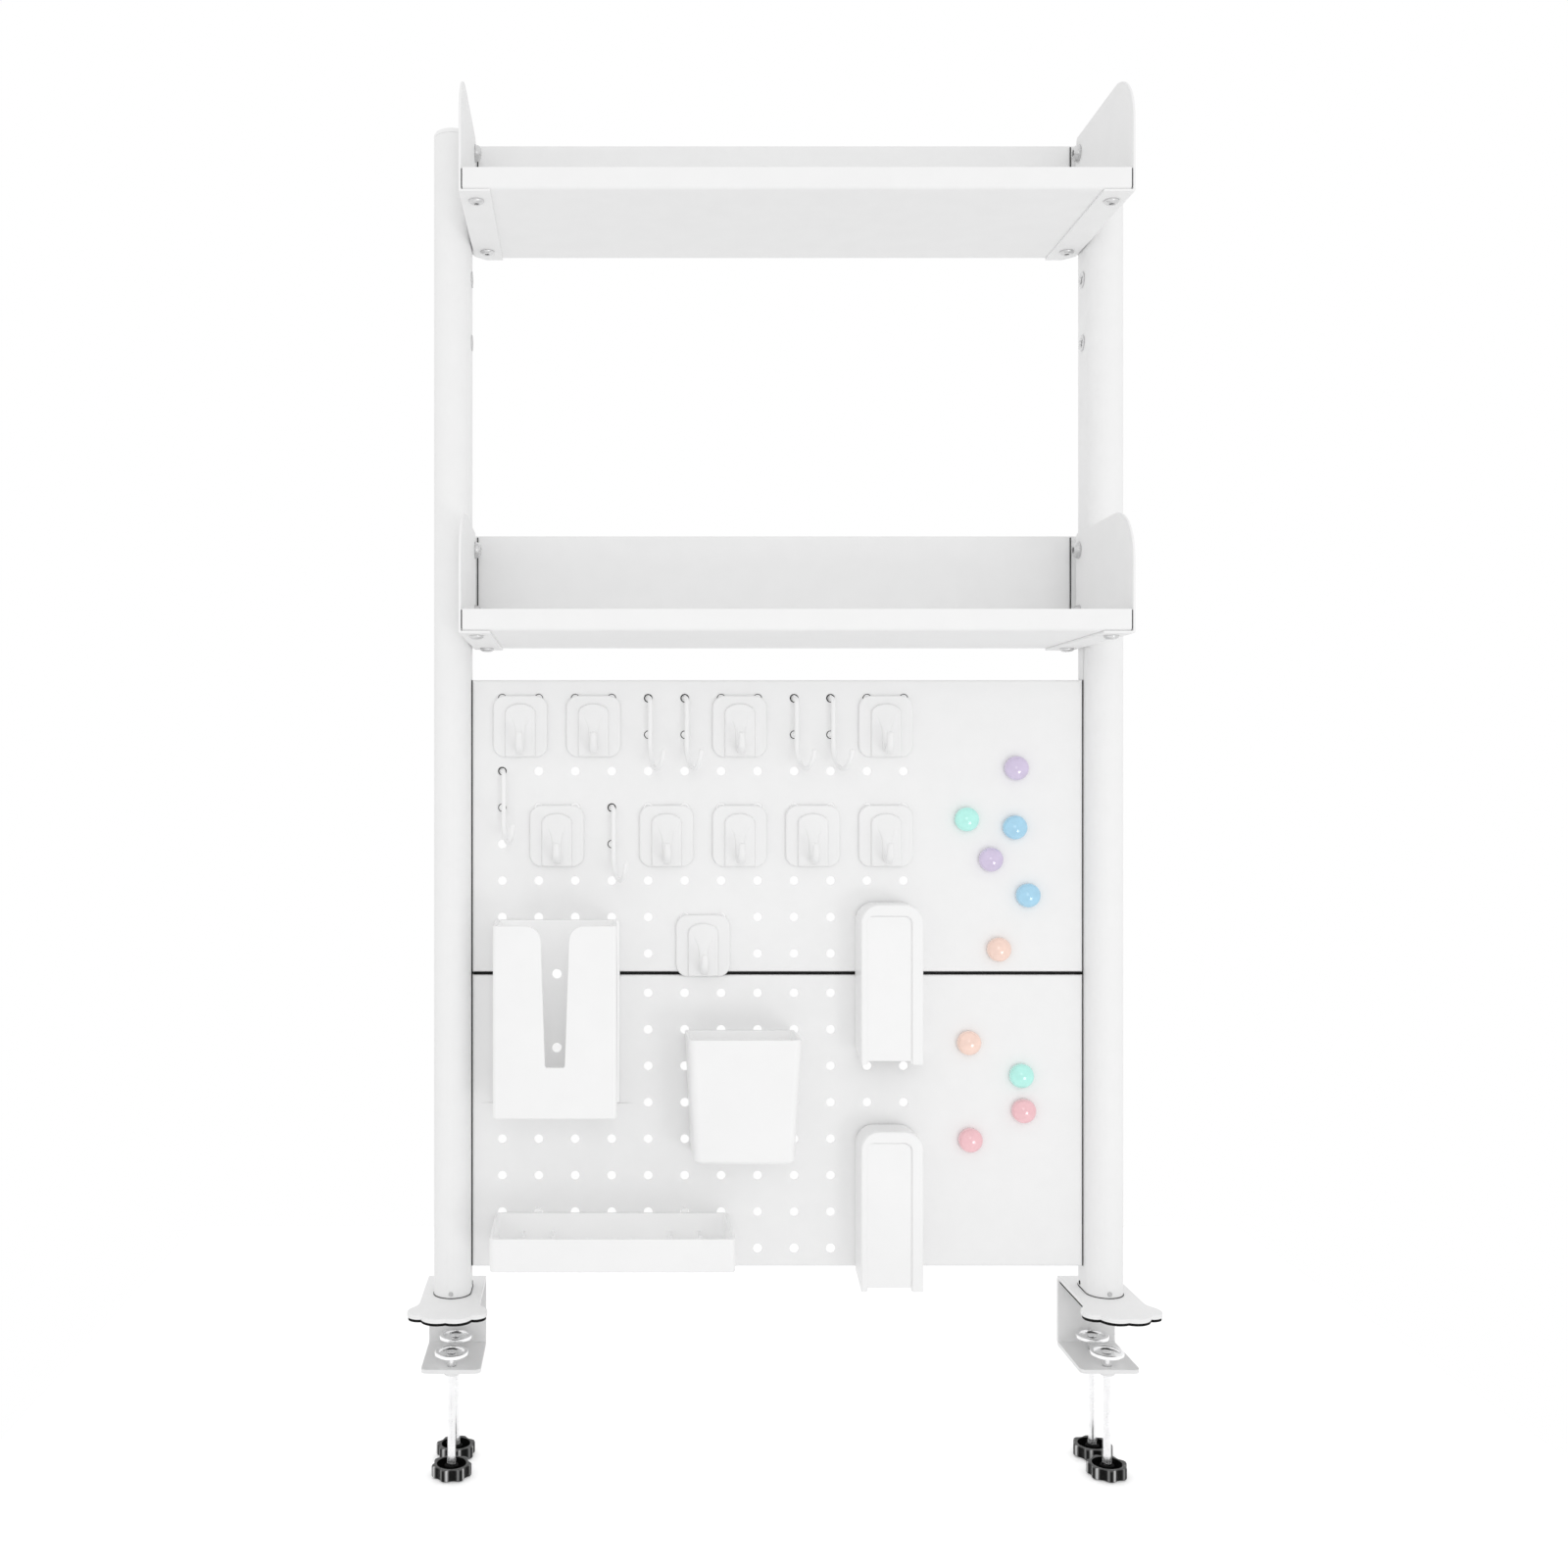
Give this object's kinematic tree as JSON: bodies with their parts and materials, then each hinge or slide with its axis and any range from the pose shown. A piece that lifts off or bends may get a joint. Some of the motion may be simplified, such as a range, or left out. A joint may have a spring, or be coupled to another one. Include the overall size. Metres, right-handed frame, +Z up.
{
  "type": "pegboard desk organizer with drawers",
  "caption": "Desk-clamp rack: flat-oval posts carry open shelves above pegboards with hooks, a slotted box, a pen cup, a tray, arched holders and magnets.",
  "frame": {"origin": "midway between the two clamps, on the desk's top surface and its rear edge", "axes": "+Z up, -Y towards the user over the desk, +X to the user's right"},
  "size_m": [0.498, 0.144, 0.915],
  "materials": {
    "powder_coat": "satin fine-grained powder coat, off-white",
    "cap_plastic": "satin, off-white",
    "pad_rubber": "matt black",
    "rod_steel": "bright zinc plate",
    "disc_steel": "bright zinc plate, turned",
    "knob_plastic": "black, lightly textured",
    "fastener_steel": "nickel plate",
    "accessory_plastic": "satin, white",
    "hook_plastic": "satin, white",
    "wire_coat": "satin white dip",
    "magnet_plate": "bright nickel plate",
    "lavender_plastic": "gloss, lavender",
    "mint_plastic": "gloss, mint",
    "blue_plastic": "gloss, light blue",
    "peach_plastic": "gloss, peach",
    "pink_plastic": "gloss, pink"
  },
  "bodies": {
    "organizer": {"left_post": "powder_coat", "left_post_cap": "cap_plastic", "upper_shelf_left_side": "powder_coat", "lower_shelf_left_side": "powder_coat", "left_clamp_bracket": "powder_coat", "left_desk_pad": "pad_rubber", "right_post": "powder_coat", "right_post_cap": "cap_plastic", "upper_shelf_right_side": "powder_coat", "lower_shelf_right_side": "powder_coat", "right_clamp_bracket": "powder_coat", "right_desk_pad": "pad_rubber", "upper_pegboard": "powder_coat", "lower_pegboard": "powder_coat", "upper_shelf_deck": "powder_coat", "lower_shelf_deck": "powder_coat", "shelf_side_screws": "fastener_steel", "shelf_post_bolts": "fastener_steel", "pegboard_bolts": "fastener_steel", "post_rivet_nuts": "fastener_steel", "post_foot_screws": "fastener_steel"},
    "left_rear_disc": {"left_rear_press_disc": "disc_steel"},
    "left_rear_screw": {"left_rear_clamp_rod": "rod_steel", "left_rear_clamp_knob": "knob_plastic"},
    "left_front_disc": {"left_front_press_disc": "disc_steel"},
    "left_front_screw": {"left_front_clamp_rod": "rod_steel", "left_front_clamp_knob": "knob_plastic"},
    "right_rear_disc": {"right_rear_press_disc": "disc_steel"},
    "right_rear_screw": {"right_rear_clamp_rod": "rod_steel", "right_rear_clamp_knob": "knob_plastic"},
    "right_front_disc": {"right_front_press_disc": "disc_steel"},
    "right_front_screw": {"right_front_clamp_rod": "rod_steel", "right_front_clamp_knob": "knob_plastic"},
    "box": {"slotted_box": "accessory_plastic", "slotted_box_magnets": "magnet_plate"},
    "cup": {"pen_cup": "accessory_plastic"},
    "tray": {"long_tray": "accessory_plastic"},
    "upper_holder": {"upper_tall_holder": "accessory_plastic"},
    "lower_holder": {"lower_tall_holder": "accessory_plastic"},
    "hook_01": {"square_hook_01": "hook_plastic"},
    "hook_02": {"square_hook_02": "hook_plastic"},
    "hook_03": {"square_hook_03": "hook_plastic"},
    "hook_04": {"square_hook_04": "hook_plastic"},
    "hook_05": {"square_hook_05": "hook_plastic"},
    "hook_06": {"square_hook_06": "hook_plastic"},
    "hook_07": {"square_hook_07": "hook_plastic"},
    "hook_08": {"square_hook_08": "hook_plastic"},
    "hook_09": {"square_hook_09": "hook_plastic"},
    "hook_10": {"square_hook_10": "hook_plastic"},
    "wire_1": {"wire_hook_1": "wire_coat"},
    "wire_2": {"wire_hook_2": "wire_coat"},
    "wire_3": {"wire_hook_3": "wire_coat"},
    "wire_4": {"wire_hook_4": "wire_coat"},
    "wire_5": {"wire_hook_5": "wire_coat"},
    "wire_6": {"wire_hook_6": "wire_coat"},
    "lavender_pair": {"lavender_magnets": "lavender_plastic"},
    "mint_pair": {"mint_magnets": "mint_plastic"},
    "blue_pair": {"blue_magnets": "blue_plastic"},
    "peach_pair": {"peach_magnets": "peach_plastic"},
    "pink_pair": {"pink_magnets": "pink_plastic"}
  },
  "joints": [
    {"name": "left_rear_press_rise", "type": "slide", "parent": "organizer", "child": "left_rear_disc", "axis": [0, 0, 1], "range_m": [0, 0.03]},
    {"name": "left_rear_knob_turn", "type": "hinge", "parent": "left_rear_disc", "child": "left_rear_screw", "pos_m": [-0.2225, -0.013, -0.08], "axis": [0, 0, 1], "range_deg": [0, 10800]},
    {"name": "left_front_press_rise", "type": "slide", "parent": "organizer", "child": "left_front_disc", "axis": [0, 0, 1], "range_m": [0, 0.03]},
    {"name": "left_front_knob_turn", "type": "hinge", "parent": "left_front_disc", "child": "left_front_screw", "pos_m": [-0.2225, -0.045, -0.08], "axis": [0, 0, 1], "range_deg": [0, 10800]},
    {"name": "right_rear_press_rise", "type": "slide", "parent": "organizer", "child": "right_rear_disc", "axis": [0, 0, 1], "range_m": [0, 0.03]},
    {"name": "right_rear_knob_turn", "type": "hinge", "parent": "right_rear_disc", "child": "right_rear_screw", "pos_m": [0.2225, -0.013, -0.08], "axis": [0, 0, 1], "range_deg": [0, 10800]},
    {"name": "right_front_press_rise", "type": "slide", "parent": "organizer", "child": "right_front_disc", "axis": [0, 0, 1], "range_m": [0, 0.03]},
    {"name": "right_front_knob_turn", "type": "hinge", "parent": "right_front_disc", "child": "right_front_screw", "pos_m": [0.2225, -0.045, -0.08], "axis": [0, 0, 1], "range_deg": [0, 10800]},
    {"name": "box_pull", "type": "slide", "parent": "organizer", "child": "box", "axis": [0, -1, 0], "range_m": [0, 0.015]},
    {"name": "cup_pull", "type": "slide", "parent": "organizer", "child": "cup", "axis": [0, -1, 0], "range_m": [0, 0.015]},
    {"name": "tray_pull", "type": "slide", "parent": "organizer", "child": "tray", "axis": [0, -1, 0], "range_m": [0, 0.015]},
    {"name": "upper_holder_pull", "type": "slide", "parent": "organizer", "child": "upper_holder", "axis": [0, -1, 0], "range_m": [0, 0.015]},
    {"name": "lower_holder_pull", "type": "slide", "parent": "organizer", "child": "lower_holder", "axis": [0, -1, 0], "range_m": [0, 0.015]},
    {"name": "hook_01_pull", "type": "slide", "parent": "organizer", "child": "hook_01", "axis": [0, -1, 0], "range_m": [0, 0.012]},
    {"name": "hook_02_pull", "type": "slide", "parent": "organizer", "child": "hook_02", "axis": [0, -1, 0], "range_m": [0, 0.012]},
    {"name": "hook_03_pull", "type": "slide", "parent": "organizer", "child": "hook_03", "axis": [0, -1, 0], "range_m": [0, 0.012]},
    {"name": "hook_04_pull", "type": "slide", "parent": "organizer", "child": "hook_04", "axis": [0, -1, 0], "range_m": [0, 0.012]},
    {"name": "hook_05_pull", "type": "slide", "parent": "organizer", "child": "hook_05", "axis": [0, -1, 0], "range_m": [0, 0.012]},
    {"name": "hook_06_pull", "type": "slide", "parent": "organizer", "child": "hook_06", "axis": [0, -1, 0], "range_m": [0, 0.012]},
    {"name": "hook_07_pull", "type": "slide", "parent": "organizer", "child": "hook_07", "axis": [0, -1, 0], "range_m": [0, 0.012]},
    {"name": "hook_08_pull", "type": "slide", "parent": "organizer", "child": "hook_08", "axis": [0, -1, 0], "range_m": [0, 0.012]},
    {"name": "hook_09_pull", "type": "slide", "parent": "organizer", "child": "hook_09", "axis": [0, -1, 0], "range_m": [0, 0.012]},
    {"name": "hook_10_pull", "type": "slide", "parent": "organizer", "child": "hook_10", "axis": [0, -1, 0], "range_m": [0, 0.012]},
    {"name": "wire_1_tip_up", "type": "hinge", "parent": "organizer", "child": "wire_1", "pos_m": [-0.0887, -0.0344, 0.4115], "axis": [-1, 0, 0], "range_deg": [0, 30]},
    {"name": "wire_2_tip_up", "type": "hinge", "parent": "organizer", "child": "wire_2", "pos_m": [-0.0637, -0.0344, 0.4115], "axis": [-1, 0, 0], "range_deg": [0, 30]},
    {"name": "wire_3_tip_up", "type": "hinge", "parent": "organizer", "child": "wire_3", "pos_m": [0.0113, -0.0344, 0.4115], "axis": [-1, 0, 0], "range_deg": [0, 30]},
    {"name": "wire_4_tip_up", "type": "hinge", "parent": "organizer", "child": "wire_4", "pos_m": [0.0363, -0.0344, 0.4115], "axis": [-1, 0, 0], "range_deg": [0, 30]},
    {"name": "wire_5_tip_up", "type": "hinge", "parent": "organizer", "child": "wire_5", "pos_m": [-0.1887, -0.0344, 0.3615], "axis": [-1, 0, 0], "range_deg": [0, 30]},
    {"name": "wire_6_tip_up", "type": "hinge", "parent": "organizer", "child": "wire_6", "pos_m": [-0.1137, -0.0344, 0.3365], "axis": [-1, 0, 0], "range_deg": [0, 30]},
    {"name": "lavender_pair_pull", "type": "slide", "parent": "organizer", "child": "lavender_pair", "axis": [0, -1, 0], "range_m": [0, 0.012]},
    {"name": "mint_pair_pull", "type": "slide", "parent": "organizer", "child": "mint_pair", "axis": [0, -1, 0], "range_m": [0, 0.012]},
    {"name": "blue_pair_pull", "type": "slide", "parent": "organizer", "child": "blue_pair", "axis": [0, -1, 0], "range_m": [0, 0.012]},
    {"name": "peach_pair_pull", "type": "slide", "parent": "organizer", "child": "peach_pair", "axis": [0, -1, 0], "range_m": [0, 0.012]},
    {"name": "pink_pair_pull", "type": "slide", "parent": "organizer", "child": "pink_pair", "axis": [0, -1, 0], "range_m": [0, 0.012]}
  ],
  "couplings": [
    {"joint": "left_rear_knob_turn", "follows": "left_rear_press_rise", "rad_per_m": 6283.2},
    {"joint": "left_front_knob_turn", "follows": "left_front_press_rise", "rad_per_m": 6283.2},
    {"joint": "right_rear_knob_turn", "follows": "right_rear_press_rise", "rad_per_m": 6283.2},
    {"joint": "right_front_knob_turn", "follows": "right_front_press_rise", "rad_per_m": 6283.2}
  ]
}
